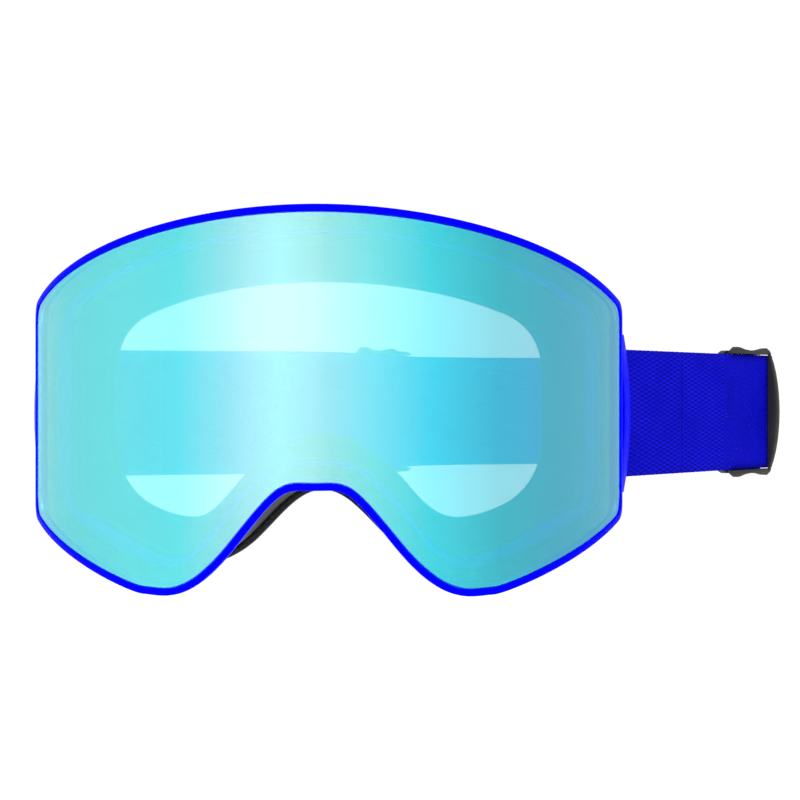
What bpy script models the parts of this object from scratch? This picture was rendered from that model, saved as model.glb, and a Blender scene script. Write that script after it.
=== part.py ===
"""Ski goggles with a magnetic cylindrical lens, a padded face frame and an adjustable strap.

Metres. +X is to the right seen from the front, +Y goes back towards the wearer, +Z is up.
Z = 0 is the wearer's eye line. Sizes below count Y from the front of the lens, and the finished
pieces are moved forward at the end, so that the origin is where the foam meets the nose bridge.
"""

import math

import bmesh
import bpy
import numpy as np
from mathutils import Matrix, Vector

MM = 0.001
GAP = 0.3 * MM  # between pieces that touch

# Lens module: a double lens in a slim rim. Depths run from the lens's outer face towards its axis.
LENS_RADIUS = 96 * MM
OUTER_LENS = (0.0, 1.6 * MM)
GASKET = (1.9 * MM, 4.8 * MM)
INNER_LENS = (5.1 * MM, 6.1 * MM)
RIM_FRONT = -0.4 * MM
RIM_SHELF = 6.4 * MM
RIM_BACK = 9.4 * MM
RIM_WIDTH = 2.0 * MM
SHELF_WIDTH = 7.0 * MM
RIM_TUCK = 2.8 * MM  # how far the rim's lower edge has drawn in by its back
SHELF_TUCK = 3.2 * MM  # the same for the inner edge of the shelf
FLANGE_TUCK = 3.8 * MM  # and for the back of the frame's flange

# Face frame and foam. The wearer's face is a cylinder whose front stands FACE_DEPTH behind the lens.
FACE_RADIUS = 87.4 * MM
FACE_DEPTH = 38 * MM
FRAME_FRONT = RIM_BACK + GAP
STEP = 0.8 * MM  # from the rim's edge in to the frame's
FLANGE_BACK = 12.9 * MM
WALL = 2.0 * MM
SEAT = (23.8 * MM, 25.5 * MM)
FOAM_LAYERS = (  # name, front, back, how far its outer edge stays inside the face outline
    ("foam_base", 26.3 * MM, 31.0 * MM, 0.8 * MM),
    ("foam_middle", 31.9 * MM, 35.1 * MM, 0.3 * MM),
    ("foam_fleece", 36.0 * MM, FACE_DEPTH, 0.0),
)
SEAT_INSET = 2.1 * MM
VENT_LENGTH, VENT_WIDTH = 15 * MM, 3.4 * MM
TOP_VENTS = (-54 * MM, -36 * MM, -18 * MM, 0.0, 18 * MM, 36 * MM, 54 * MM)
LOW_VENTS = (40 * MM, 58 * MM)

# Magnets, in facing pairs: name, position along the outline, whether on its upper or lower edge.
MAGNET = (10 * MM, 3.4 * MM, 1.8 * MM)
MAGNET_INSET = {"top": 4.4 * MM, "low": 7.5 * MM}
MAGNETS = (
    ("top", 32 * MM, "top"),
    ("corner", 86 * MM, "top"),
    ("cheek", 52 * MM, "low"),
)

# Outriggers: hinged arms that carry the strap. Places are for the right one.
STRAP_Z = -4.4 * MM
HINGE = Vector((85 * MM, 70.5 * MM))
PIN_RADIUS = 1.2 * MM
PIN_HEAD = 2.2 * MM
PIN_HOLE = 1.5 * MM
BARREL_RADIUS = 3.1 * MM
BARREL_HALF = 11.7 * MM
LUG = (12.0 * MM, 17.0 * MM)
ARM_HALF = 24.5 * MM
ARM_BOW = 2.4 * MM
BAR_RADIUS = 1.6 * MM

# Strap: one length of elastic webbing.
STRAP_WIDTH = 40 * MM
STRAP_THICKNESS = 1.6 * MM


def bezier(start, first, second, end, count=24):
    """Points of a cubic from start to end."""
    t = np.linspace(0, 1, count)[:, None]
    p = [np.array(point, float) * MM for point in (start, first, second, end)]
    return (1 - t) ** 3 * p[0] + 3 * (1 - t) ** 2 * t * p[1] + 3 * (1 - t) * t**2 * p[2] + t**3 * p[3]


def resample(line, count, start=0.0, end=0.0):
    """An open line with its ends cut back by start and end, in evenly spaced points."""
    reach = np.concatenate([[0], np.cumsum(np.linalg.norm(np.diff(line, axis=0), axis=1))])
    at = np.linspace(start, reach[-1] - end, count)
    return np.stack([np.interp(at, reach, line[:, axis]) for axis in (0, 1)], axis=1)


def shifted(line, distance):
    """An open line moved to its right-hand side."""
    run = np.gradient(line, axis=0)
    run /= np.linalg.norm(run, axis=1)[:, None]
    return line + distance * np.stack([run[:, 1], -run[:, 0]], axis=1)


def cut_at(line, side):
    """The line up to where it first passes the upright x = side, with its end on that upright."""
    past = int(np.argmax(line[:, 0] > side))
    before, after = line[past - 1], line[past]
    share = (side - before[0]) / (after[0] - before[0])
    return np.vstack([line[:past], before + share * (after - before)])


def corner(start, middle, end, count):
    """Inner points of a rounded corner between start and end, whose edges meet at middle."""
    t = (np.arange(count) + 1)[:, None] / (count + 1)
    return (1 - t) ** 2 * start + 2 * (1 - t) * t * middle + t**2 * end


class Outline:
    """A symmetric outline: a top curve, upright sides, cheek curves and an arch over the nose."""

    def __init__(self, top, side, cheek, flank, arch, rounding):
        self.top = bezier(*top)
        self.cheek = bezier(*cheek)
        self.nose = np.vstack([bezier(*flank), bezier(*arch)[1:]])
        self.side = side
        self.rounding = rounding

    def half(self, inset):
        """The right half, from the middle of the top to the middle of the nose."""
        side = self.side - inset
        top = shifted(self.top, inset)
        top[0, 0] = 0
        top = cut_at(top, side)
        cheek = cut_at(shifted(self.cheek, inset)[::-1], side)[::-1]
        nose = shifted(self.nose, inset)
        nose[-1, 0] = 0
        cheek[-1] = nose[0]
        trim = self.rounding + 0.4 * max(inset, 0)
        upper = resample(top, 15, end=trim)
        lower = resample(cheek, 10, start=trim)
        high = top[-1] - (0, trim)
        low = cheek[0] + (0, trim)
        upright = high + np.linspace(0, 1, 4)[:, None] * (low - high)
        return np.vstack(
            [
                upper,
                corner(upper[-1], top[-1], high, 3),
                upright,
                corner(low, cheek[0], lower[0], 3),
                lower,
                resample(nose, 17)[1:],
            ]
        )

    def loop(self, inset=0.0):
        """The whole closed outline, clockwise seen from the front."""
        right = self.half(inset)
        left = right[-2:0:-1] * (-1, 1)
        return np.vstack([right, left])

    def tucked(self, inset, tuck):
        """The loop, drawn in by a further tuck along the cheeks and the nose."""
        loop = self.loop(inset)
        low = np.clip((-loop[:, 1] - 12 * MM) / (20 * MM), 0, 1)
        inner = np.clip((108 * MM - np.abs(loop[:, 0])) / (20 * MM), 0, 1)
        return loop + (low * inner)[:, None] * (self.loop(inset + tuck) - loop)

    def edge(self, across, which, inset):
        """The point at a given x on the top or lower edge, and the edge's direction there."""
        half = self.half(inset)
        widest = int(np.argmax(half[:, 0]))
        line = half[: widest + 1] if which == "top" else half[: widest - 1 : -1]
        sign = 1 if across >= 0 else -1
        step = 0.5 * MM
        near, far = (np.interp(abs(across) + d, line[:, 0], line[:, 1]) for d in (-step, step))
        slope = Vector((2 * step, sign * (far - near))).normalized()
        return (near + far) / 2, slope


LENS_OUTLINE = Outline(
    top=((0, 53.7), (51.2, 53.7), (99, 34.4), (120, 27)),
    side=115.0 * MM,
    cheek=((120, -34), (84, -46.3), (56.7, -55), (51.7, -55)),
    flank=((51.7, -55), (44.5, -55), (36.6, -58.1), (22, -40.45)),
    arch=((22, -40.45), (8.1, -23.6), (8.9, -25.3), (0, -25.3)),
    rounding=4 * MM,
)
FACE_OUTLINE = Outline(
    top=((0, 48.5), (34, 48.5), (60, 43), (84, 26)),
    side=75 * MM,
    cheek=((80, -30), (66, -41), (54, -50.6), (44, -50.6)),
    flank=((44, -50.6), (36, -50.6), (25.5, -47.4), (18.5, -40.2)),
    arch=((18.5, -40.2), (12.2, -34.1), (7, -26.6), (0, -26.6)),
    rounding=12 * MM,
)
WINDOW_OUTLINE = Outline(
    top=((0, 34.2), (26, 34.2), (50, 29.5), (70, 18)),
    side=65.2 * MM,
    cheek=((68, -22), (58, -30.5), (48, -35), (39.5, -35)),
    flank=((39.5, -35), (34.5, -35), (30.5, -32), (25, -25.2)),
    arch=((25, -25.2), (19.5, -18.4), (9, -9.8), (0, -9.8)),
    rounding=12 * MM,
)


def on_lens(points, depth):
    """Outline points wrapped on the lens's cylinder, at a depth behind its outer face."""
    angle = points[:, 0] / LENS_RADIUS
    radius = LENS_RADIUS - depth
    return np.stack([radius * np.sin(angle), LENS_RADIUS - radius * np.cos(angle), points[:, 1]], axis=1)


def on_face(points, depth):
    """Outline points on the wearer's face surface, moved so that its middle stands at a depth."""
    across = points[:, 0]
    fall = FACE_RADIUS - np.sqrt(FACE_RADIUS**2 - across**2)
    return np.stack([across, depth + fall, points[:, 1]], axis=1)


def material(name, colour, roughness, metallic=0.0, alpha=1.0):
    made = bpy.data.materials.new(name)
    made.use_nodes = True
    shader = made.node_tree.nodes["Principled BSDF"]
    shader.inputs["Base Color"].default_value = (*colour, 1)
    shader.inputs["Roughness"].default_value = roughness
    shader.inputs["Metallic"].default_value = metallic
    shader.inputs["Alpha"].default_value = alpha
    made.diffuse_color = (*colour, alpha)
    return made


BLUE = (0.0, 0.0, 1.0)
WEBBING = (0.004, 0.004, 0.5)
DARK_GREY = (0.035, 0.035, 0.035)
BLACK = (0.008, 0.008, 0.008)
CYAN = (0.13, 0.8, 0.9)
CLEAR = (0.85, 0.92, 0.95)
STEEL = (0.55, 0.55, 0.57)


def new_object(name, mesh, look):
    mesh.materials.append(look)
    made = bpy.data.objects.new(name, mesh)
    bpy.context.collection.objects.link(made)
    return made


def solid(name, rings, look, closed):
    """A body from rings of points: each ring is one cross-section, bridged to the next."""
    mesh = bmesh.new()
    rows = [[mesh.verts.new(point) for point in ring] for ring in rings]
    sides = len(rows[0])
    pairs = list(zip(rows, rows[1:] + rows[:1])) if closed else list(zip(rows, rows[1:]))
    for first, second in pairs:
        for i in range(sides):
            j = (i + 1) % sides
            mesh.faces.new((first[i], first[j], second[j], second[i]))
    if not closed:
        mesh.faces.new(rows[0])
        mesh.faces.new(rows[-1])
    bmesh.ops.recalc_face_normals(mesh, faces=mesh.faces)
    data = bpy.data.meshes.new(name)
    mesh.to_mesh(data)
    mesh.free()
    return new_object(name, data, look)


def ring_body(name, section, look):
    """A closed band that follows an outline. section lists its corner lines, each a loop of points."""
    return solid(name, list(np.stack(section, axis=1)), look, closed=True)


def plate(name, inset, depths, look):
    """A lens: the outline's area, bent on the cylinder, between two depths."""
    half = LENS_OUTLINE.half(inset)
    widest = int(np.argmax(half[:, 0]))
    upper, lower = half[: widest + 1], half[widest:][::-1]
    reach = half[widest, 0] - 0.05 * MM
    across = reach * np.sin(np.linspace(-1, 1, 81) * math.pi / 2)
    columns = []
    for x in across:
        top = np.interp(abs(x), upper[:, 0], upper[:, 1])
        low = np.interp(abs(x), lower[:, 0], lower[:, 1])
        ends = np.array([(x, top), (x, low)])
        front, back = (on_lens(ends, depth) for depth in depths)
        columns.append([front[0], front[1], back[1], back[0]])
    return solid(name, columns, look, closed=False)


def prism(name, outline, low, high, look):
    """An upright prism over a plan outline."""
    rings = [[(*point[:2], z) for point in outline] for z in (low, high)]
    return solid(name, rings, look, closed=False)


def disc(centre, radius, count=24, start=0.0):
    angles = [start + 2 * math.pi * i / count for i in range(count)]
    return [(centre[0] + radius * math.cos(a), centre[1] + radius * math.sin(a)) for a in angles]


def box(name, centre, axes, size, look):
    """A block on three given axes."""
    corners = [(-1, -1), (1, -1), (1, 1), (-1, 1)]
    half = [axis * length / 2 for axis, length in zip(axes, size)]
    rings = [[centre + half[0] * x + half[1] * y + half[2] * z for x, y in corners] for z in (-1, 1)]
    return solid(name, rings, look, closed=False)


def boolean(body, tool, operation):
    """Joins a tool to a body, or cuts it from the body, and applies it."""
    change = body.modifiers.new(operation.title(), "BOOLEAN")
    change.operation = operation
    change.object = tool
    graph = bpy.context.evaluated_depsgraph_get()
    data = bpy.data.meshes.new_from_object(body.evaluated_get(graph))
    body.modifiers.clear()
    old = body.data
    body.data = data
    bpy.data.meshes.remove(old)
    bpy.data.objects.remove(tool)


def magnet_places():
    """Name, point on the outline and edge direction of every magnet pair."""
    for name, across, which in MAGNETS:
        for hand, sign in (("left", -1), ("right", 1)):
            height, slope = LENS_OUTLINE.edge(sign * across, which, MAGNET_INSET[which])
            yield f"{name}_{hand}", sign * across, height, slope


def magnet_block(name, across, height, slope, front, back, grow, look):
    """A block with its long side along the outline, between two depths in the lens's shell."""
    angle = across / LENS_RADIUS
    outward = Vector((math.sin(angle), -math.cos(angle), 0))
    around = Vector((math.cos(angle), math.sin(angle), 0))
    up = Vector((0, 0, 1))
    middle = LENS_RADIUS - (front + back) / 2
    centre = Vector((0, LENS_RADIUS, height)) + outward * middle
    along = around * slope[0] + up * slope[1]
    over = up * slope[0] - around * slope[1]
    size = (MAGNET[0] + grow, MAGNET[1] + grow, back - front)
    return box(name, centre, (along, over, outward), size, look)


def lens_module(looks):
    """Rim, double lens, gasket and the rim's magnets."""
    chamfer = 0.4 * MM
    rim = ring_body(
        "lens_rim",
        [
            on_lens(LENS_OUTLINE.tucked(inset, tuck), depth)
            for inset, tuck, depth in (
                (chamfer, 0.0, RIM_FRONT),
                (0.0, 0.0, RIM_FRONT + chamfer),
                (0.0, 0.0, 1.2 * MM),
                (0.0, RIM_TUCK, RIM_BACK),
                (SHELF_WIDTH, SHELF_TUCK, RIM_BACK),
                (SHELF_WIDTH, SHELF_TUCK, RIM_SHELF),
                (RIM_WIDTH, 0.6 * RIM_TUCK, RIM_SHELF),
                (RIM_WIDTH, 0.0, 1.7 * MM),
                (RIM_WIDTH, 0.0, RIM_FRONT + chamfer / 2),
                (RIM_WIDTH - chamfer, 0.0, RIM_FRONT),
            )
        ],
        looks["blue"],
    )
    plate("outer_lens", RIM_WIDTH + 2 * GAP, OUTER_LENS, looks["mirror"])
    plate("inner_lens", RIM_WIDTH + 2.2 * MM, INNER_LENS, looks["clear"])
    band = [(2.8 * MM, GASKET[0]), (2.8 * MM, GASKET[1]), (6.5 * MM, GASKET[1]), (6.5 * MM, GASKET[0])]
    ring_body("lens_gasket", [on_lens(LENS_OUTLINE.tucked(i, MM), d) for i, d in band], looks["foam"])
    floor = RIM_BACK - MAGNET[2] - 0.4 * MM
    for name, across, height, slope in magnet_places():
        where = (across, height, slope)
        pocket = magnet_block("pocket", *where, floor, RIM_BACK + MM, 0.6 * MM, looks["blue"])
        boolean(rim, pocket, "DIFFERENCE")
        front = floor + GAP
        magnet_block(f"rim_magnet_{name}", *where, front, front + MAGNET[2], 0.0, looks["steel"])


def face_frame(looks):
    """The shell behind the rim: a flange for the magnets, a vented wall and the seat of the foam."""
    seat_outer, seat_inner = FACE_OUTLINE.loop(SEAT_INSET), WINDOW_OUTLINE.loop()
    wall_foot = FACE_OUTLINE.loop(SEAT_INSET + WALL)
    frame = ring_body(
        "face_frame",
        [
            on_lens(LENS_OUTLINE.tucked(STEP, RIM_TUCK), FRAME_FRONT),
            on_lens(LENS_OUTLINE.tucked(SHELF_WIDTH + STEP, SHELF_TUCK), FRAME_FRONT),
            on_lens(LENS_OUTLINE.tucked(SHELF_WIDTH + STEP, SHELF_TUCK), FLANGE_BACK),
            on_lens(LENS_OUTLINE.tucked(STEP + WALL, FLANGE_TUCK), FLANGE_BACK),
            on_face(wall_foot, SEAT[0]),
            on_face(seat_inner, SEAT[0]),
            on_face(seat_inner, SEAT[1]),
            on_face(seat_outer, SEAT[1]),
        ],
        looks["grey"],
    )
    for name, across, height, slope in magnet_places():
        where = (across, height, slope)
        floor = FRAME_FRONT + MAGNET[2] + 0.4 * MM
        pocket = magnet_block("pocket", *where, FRAME_FRONT - MM, floor, 0.6 * MM, looks["grey"])
        boolean(frame, pocket, "DIFFERENCE")
        back = floor - GAP
        magnet_block(f"frame_magnet_{name}", *where, back - MAGNET[2], back, 0.0, looks["steel"])
    for sign in (-1, 1):
        for upper in (True, False):
            boolean(frame, hinge_lug(sign, upper, looks["grey"]), "UNION")
        hole = prism("hole", mirrored(disc(HINGE, PIN_HOLE), sign), -60 * MM, 60 * MM, looks["grey"])
        boolean(frame, hole, "DIFFERENCE")
    for across in TOP_VENTS:
        boolean(frame, vent_cutter(across, "top", looks["grey"]), "DIFFERENCE")
    for across in LOW_VENTS:
        for sign in (-1, 1):
            boolean(frame, vent_cutter(sign * across, "low", looks["grey"]), "DIFFERENCE")


def vent_cutter(across, which, look):
    """A slot through the frame's top or lower wall, halfway between flange and seat."""
    tuck = FLANGE_TUCK if which == "low" else 0.0
    lens_height, _ = LENS_OUTLINE.edge(across, which, STEP + tuck)
    face_height, _ = FACE_OUTLINE.edge(across, which, SEAT_INSET)
    flange = LENS_RADIUS - math.sqrt((LENS_RADIUS - FLANGE_BACK) ** 2 - across**2)
    seat = SEAT[0] + FACE_RADIUS - math.sqrt(FACE_RADIUS**2 - across**2)
    lean = math.atan(across / LENS_RADIUS)
    axes = (
        Vector((math.cos(lean), math.sin(lean), 0)),
        Vector((-math.sin(lean), math.cos(lean), 0)),
        Vector((0, 0, 1)),
    )
    centre = Vector((across, (flange + seat) / 2, (lens_height + face_height) / 2))
    return box("vent", centre, axes, (VENT_LENGTH, VENT_WIDTH, 14 * MM), look)


def vent_foam(name, which, indices, looks):
    """A thin foam strip inside the wall, over the slots."""
    front = on_lens(LENS_OUTLINE.tucked(STEP + WALL, FLANGE_TUCK), FLANGE_BACK)
    foot = on_face(FACE_OUTLINE.loop(SEAT_INSET + WALL), SEAT[0])
    drop = -1 if which == "top" else 1
    rings = []
    for i in indices:
        near, far = front[i] + 0.22 * (foot[i] - front[i]), front[i] + 0.78 * (foot[i] - front[i])
        lift = np.array((0, 0, drop))
        low, high = 0.5 * MM * lift, 2.3 * MM * lift
        rings.append([near + low, far + low, far + high, near + high])
    return solid(name, rings, looks["foam"], closed=False)


def foams(looks):
    """Three layers of face foam and the strips behind the vents."""
    window = WINDOW_OUTLINE.loop()
    for name, front, back, inset in FOAM_LAYERS:
        outer = FACE_OUTLINE.loop(inset)
        section = [(outer, front), (window, front), (window, back), (outer, back)]
        look = looks["fleece"] if name == "foam_fleece" else looks["foam"]
        ring_body(name, [on_face(points, depth) for points, depth in section], look)
    count = len(window)
    vent_foam("vent_foam_top", "top", [i % count for i in range(-13, 14)], looks)
    vent_foam("vent_foam_low_right", "low", range(28, 34), looks)
    vent_foam("vent_foam_low_left", "low", [count - i for i in range(28, 34)], looks)


def mirrored(points, sign):
    """Plan points on the right side, or their mirror image on the left."""
    return [(sign * point[0], point[1]) for point in points]


def plan(points):
    return [(x * MM, y * MM) for x, y in points]


def hinge_lug(sign, upper, look):
    """A knuckle of the face frame that holds one end of an outrigger's pin."""
    knuckle = disc(HINGE, 3.0 * MM, 24)
    arc = [point for point in knuckle if point[0] > 83.6 * MM or point[1] > 72 * MM]
    arc.sort(key=lambda point: math.atan2(point[1] - HINGE[1], point[0] - HINGE[0]))
    outline = plan([(76.3, 64.2), (78.9, 63.8), (80.6, 66.3)]) + arc + plan([(78.5, 68.6)])
    near, far = LUG if upper else (-LUG[1], -LUG[0])
    return prism("lug", mirrored(outline, sign), STRAP_Z + near, STRAP_Z + far, look)


def move_origin(body, origin, angle=0.0):
    """Puts a body's origin at a point, turned about Z, and leaves its shape where it is."""
    place = Matrix.Translation((*origin, STRAP_Z)) @ Matrix.Rotation(angle, 4, "Z")
    body.data.transform(place.inverted())
    body.matrix_world = place


def arm_plate(name, sign, look):
    """The outrigger's outer plate, bowed outwards most at mid height."""
    front, outer = 70.8 * MM, plan([(91.2, 70.8), (92.6, 74.6), (93.6, 78.0), (93.9, 80.8)])
    rings = []
    for share in np.linspace(-1, 1, 11):
        sink = ARM_BOW * share**2
        thick = (2.4 - 1.2 * share**2) * MM
        face = [(x - sink, front + (y - front) * (1 - 0.33 * share**2)) for x, y in outer]
        inner = [(x - thick, y + 0.3 * thick) for x, y in face[:-1]]
        inner.append((face[-1][0] - 0.75 * thick, face[-1][1]))
        height = STRAP_Z + share * ARM_HALF
        rings.append([(sign * x, y, height) for x, y in face + inner[::-1]])
    return solid(name, rings, look, closed=False)


def hull(points):
    """The corners of the smallest convex outline around plan points."""
    points = sorted(points)
    halves = []
    for run in (points, points[::-1]):
        line = []
        for point in run:
            while len(line) > 1 and turn(line[-2], line[-1], point) <= 0:
                line.pop()
            line.append(point)
        halves += line[:-1]
    return halves


def turn(a, b, c):
    return (b[0] - a[0]) * (c[1] - a[1]) - (b[1] - a[1]) * (c[0] - a[0])


def outrigger(hand, sign, looks):
    """A hinged arm: barrel on the pin, bowed plate, two ears and the bar that the webbing goes round."""
    look = looks["blue"]
    bar = STRAP_BAR
    arm = arm_plate(f"outrigger_{hand}", sign, look)
    web = hull(disc(HINGE, BARREL_RADIUS) + plan([(90.3, 71.8), (91.2, 76.5)]))
    low, high = STRAP_Z - BARREL_HALF, STRAP_Z + BARREL_HALF
    boolean(arm, prism("web", mirrored(web, sign), low, high, look), "UNION")
    ear = hull(plan([(88.3, 72.2), (90.4, 78.0), (86.4, 74.0)]) + disc(bar, 2.6 * MM))
    for side in (-1, 1):
        ends = sorted((STRAP_Z + side * 20.9 * MM, STRAP_Z + side * 24.0 * MM))
        boolean(arm, prism("ear", mirrored(ear, sign), *ends, look), "UNION")
    rod = disc(bar, BAR_RADIUS)
    rod_half = 22 * MM
    boolean(arm, prism("rod", mirrored(rod, sign), STRAP_Z - rod_half, STRAP_Z + rod_half, look), "UNION")
    hole = mirrored(disc(HINGE, PIN_HOLE), sign)
    boolean(arm, prism("hole", hole, STRAP_Z - 20 * MM, STRAP_Z + 20 * MM, look), "DIFFERENCE")
    move_origin(arm, (sign * HINGE[0], HINGE[1]))
    rings = []
    for radius, height in ((PIN_RADIUS, -18.2), (PIN_RADIUS, 17.3), (PIN_HEAD, 17.3), (PIN_HEAD, 18.3)):
        circle = mirrored(disc(HINGE, radius), sign)
        rings.append([(*point, STRAP_Z + height * MM) for point in circle])
    pin = solid(f"hinge_pin_{hand}", rings, looks["steel"], closed=False)
    move_origin(pin, (sign * HINGE[0], HINGE[1]))


# The outer layer of the strap: a straight run behind each outrigger, joined round the back.
RUN_START = Vector((93.6 * MM, 85.7 * MM))
RUN_END = Vector((151.4 * MM, 171.8 * MM))
RUN = (RUN_END - RUN_START).normalized()
RUN_OUT = Vector((RUN.y, -RUN.x))
STRAP_BAR = RUN_START - 5 * MM * RUN - 3.15 * MM * RUN_OUT
LEFT_BAR = Vector((-STRAP_BAR.x, STRAP_BAR.y))
LEFT_RUN = Vector((0.938, 0.346)).normalized()
LEFT_OUT = Vector((-LEFT_RUN.y, LEFT_RUN.x))
REAR_START = Vector((-7.5 * MM, 114 * MM))
REAR_END = Vector((20.5 * MM, 178.3 * MM))
REAR = (REAR_END - REAR_START).normalized()
REAR_OUT = Vector((-REAR.y, REAR.x))
LOOP_LEG = 5 * MM  # how far a loop's ends reach back from its bar
LOOP_CLEARANCE = 4.5 * MM  # the free stretch between a loop and the layers behind it
LAYER_STEP = 6.3 * MM  # between the middles of the outer and inner layers


def strap_route():
    """Plan points of the outer layer's middle, from the right outrigger round to the left one."""
    start = RUN_START + LOOP_CLEARANCE * RUN
    left = LEFT_BAR + (LOOP_LEG + LOOP_CLEARANCE) * LEFT_RUN + LAYER_STEP / 2 * LEFT_OUT
    side = Vector((-66, 95)) * MM
    route = [np.array([start])]
    back = ((151.4, 171.8), (162.5, 188.4), (118, 221), (71, 208))
    fold = ((71, 208), (45, 200.8), (27, 193.2), (20.5, 178.3))
    bend = ((-7.5, 114), (-11.5, 104.8), (-34, 106.8), (-66, 95))
    for points, count in ((back, 26), (fold, 14), (bend, 16)):
        route.append(bezier(*points, count=count))
    route[3][-1] = side
    route.append(np.array([left]))
    return np.vstack(route)


def band(name, path, look, low=-STRAP_WIDTH / 2, high=STRAP_WIDTH / 2):
    """Webbing on edge along a plan path, its heights measured from the strap's middle."""
    run = np.gradient(np.array(path), axis=0)
    run /= np.linalg.norm(run, axis=1)[:, None]
    side = STRAP_THICKNESS / 2 * np.stack([run[:, 1], -run[:, 0]], axis=1)
    rings = []
    for point, reach in zip(np.array(path), side):
        out, back = point + reach, point - reach
        corners = ((out, low), (out, high), (back, high), (back, low))
        rings.append([(*spot, height) for spot, height in corners])
    return solid(name, rings, look, closed=False)


def lift_to_strap(body):
    body.data.transform(Matrix.Translation((0, 0, STRAP_Z)))


def frame_path(points, origin, along, out):
    """Local points (along the webbing, outwards) as plan points."""
    return [origin + x * MM * along + y * MM * out for x, y in points]


def bar_loop(radius, legs, legs_to, centre, count=13):
    """A U of webbing round a bar, its legs pointing along +x: points for frame_path."""
    angles = np.linspace(math.pi / 2, 3 * math.pi / 2, count)
    bend = [(centre[0] + radius * math.cos(a), centre[1] + radius * math.sin(a)) for a in angles]
    return [(legs, legs_to[0])] + bend + [(legs, legs_to[1])]


def strap(looks):
    """The outer layer, the layers that return inside it and the loops round the outriggers' bars."""
    look = looks["webbing"]
    lift_to_strap(band("strap", strap_route(), look))
    half = LAYER_STEP / 2 / MM
    loop = bar_loop(half, LOOP_LEG / MM, (half, -half), (0, 0))
    for hand, bar, along, out in (
        ("right", STRAP_BAR, RUN, RUN_OUT),
        ("left", LEFT_BAR, LEFT_RUN, LEFT_OUT),
    ):
        piece = band(f"strap_loop_{hand}", frame_path(loop, bar, along, out), look)
        lift_to_strap(piece)
        hinge = HINGE if hand == "right" else Vector((-HINGE[0], HINGE[1]))
        move_origin(piece, hinge)
    inner = frame_path([(9.5, -half), (34, -half)], STRAP_BAR, RUN, RUN_OUT)
    lift_to_strap(band("strap_return_right", inner, look))
    inner = frame_path([(9.5, -half), (24, -half), (44, -half - 1)], LEFT_BAR, LEFT_RUN, LEFT_OUT)
    lift_to_strap(band("strap_return_left", inner, look))


def slider(hand, origin, along, out, looks):
    """A ladder slider and the webbing's sewn end round its middle bar, both on the slide's axis."""
    flip = 1 if turn((0, 0), along, out) > 0 else -1
    look = looks["grey"]

    def slab(name, outline, near, far):
        rings = [[(x * MM, flip * depth * MM, z * MM) for x, z in outline] for depth in (near, far)]
        return solid(name, rings, look, closed=False)

    def block(x0, x1, z0, z1, near, far):
        return slab("block", [(x0, z0), (x1, z0), (x1, z1), (x0, z1)], near, far)

    base = [(0, 19), (2.5, 20.6), (5, 21.4), (28.5, 21.4), (31.5, 20.8), (33, 19.4)]
    wings = [(0, 19.6), (1.4, 21.3), (4.2, 22.6), (6.6, 22.5), (11, 21.8), (16.2, 21.5)]
    wings += [(21.5, 21.8), (26, 22.5), (28.2, 22.6), (31, 21.5), (32.2, 20)]
    base, wings = (half + [(x, -z) for x, z in reversed(half)] for half in (base, wings))
    body = slab(f"strap_slider_{hand}", base, -5.2, -3.0)
    boolean(body, block(5.3, 28.7, -21.1, 21.1, -4.1, 0.7), "UNION")
    boolean(body, slab("wings", wings, -0.4, 1.4), "UNION")
    boolean(body, block(-1.0, 34.0, -20.3, 20.3, -3.0, 3.1), "DIFFERENCE")
    for x0, x1 in ((4.0, 21.5), (25.5, 34.0)):
        boolean(body, block(x0, x1, -20.3, 20.3, -6, -2), "DIFFERENCE")
    rings = []
    for share in np.linspace(-1, 1, 13):
        top = 1.7 + 2.9 * (1 - share**2)
        end = 32.4 - 1.6 * share**6
        z = 20.9 * share
        corners = ((29.4, 1.1), (end, 1.1), (end, top - 0.4))
        corners += ((end - 0.5, top), (29.8, top), (29.4, top - 0.3))
        rings.append([(x * MM, flip * y * MM, z * MM) for x, y in corners])
    boolean(body, solid("bridge", rings, look, closed=False), "UNION")
    place = Matrix.Translation((*origin, STRAP_Z)) @ Matrix.Rotation(math.atan2(along.y, along.x), 4, "Z")
    body.matrix_world = place
    turns = np.linspace(-math.pi / 2, math.pi / 2, 11)
    bend = [(25 + 2.2 * math.cos(a), -4.1 + 2.2 * math.sin(a)) for a in turns]
    path = [(8, -6.3)] + bend + [(17, -1.9)]
    sewn = band(f"strap_sewn_end_{hand}", [(x * MM, flip * y * MM) for x, y in path], looks["webbing"])
    sewn.matrix_world = place


def build():
    for old in list(bpy.data.objects):
        bpy.data.objects.remove(old)
    looks = {
        "blue": material("blue_plastic", BLUE, 0.35),
        "grey": material("dark_grey_tpu", DARK_GREY, 0.5),
        "foam": material("black_foam", BLACK, 0.95),
        "fleece": material("black_fleece", BLACK, 1.0),
        "mirror": material("cyan_mirror_lens", CYAN, 0.05, alpha=0.6),
        "clear": material("clear_inner_lens", CLEAR, 0.05, alpha=0.3),
        "steel": material("steel", STEEL, 0.3, metallic=1.0),
        "webbing": material("blue_webbing", WEBBING, 0.85),
    }
    lens_module(looks)
    face_frame(looks)
    foams(looks)
    outrigger("right", 1, looks)
    outrigger("left", -1, looks)
    strap(looks)
    slider("right", RUN_START + 71.3 * MM * RUN, RUN, RUN_OUT, looks)
    slider("left", REAR_START + 33 * MM * REAR, REAR, REAR_OUT, looks)
    for body in bpy.data.objects:
        body.location.y -= FACE_DEPTH


build()
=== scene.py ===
"""The looks of the ski goggles: lens, rim, foam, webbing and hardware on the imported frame.

Metres, in the frame's axes: +X right seen from the front, +Y back, +Z up, with the origin where
the foam meets the nose bridge. SHIFT brings a depth counted from the lens's front into that frame.
"""

import math

import bmesh
import bpy
import numpy as np
from mathutils import Matrix, Vector


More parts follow.
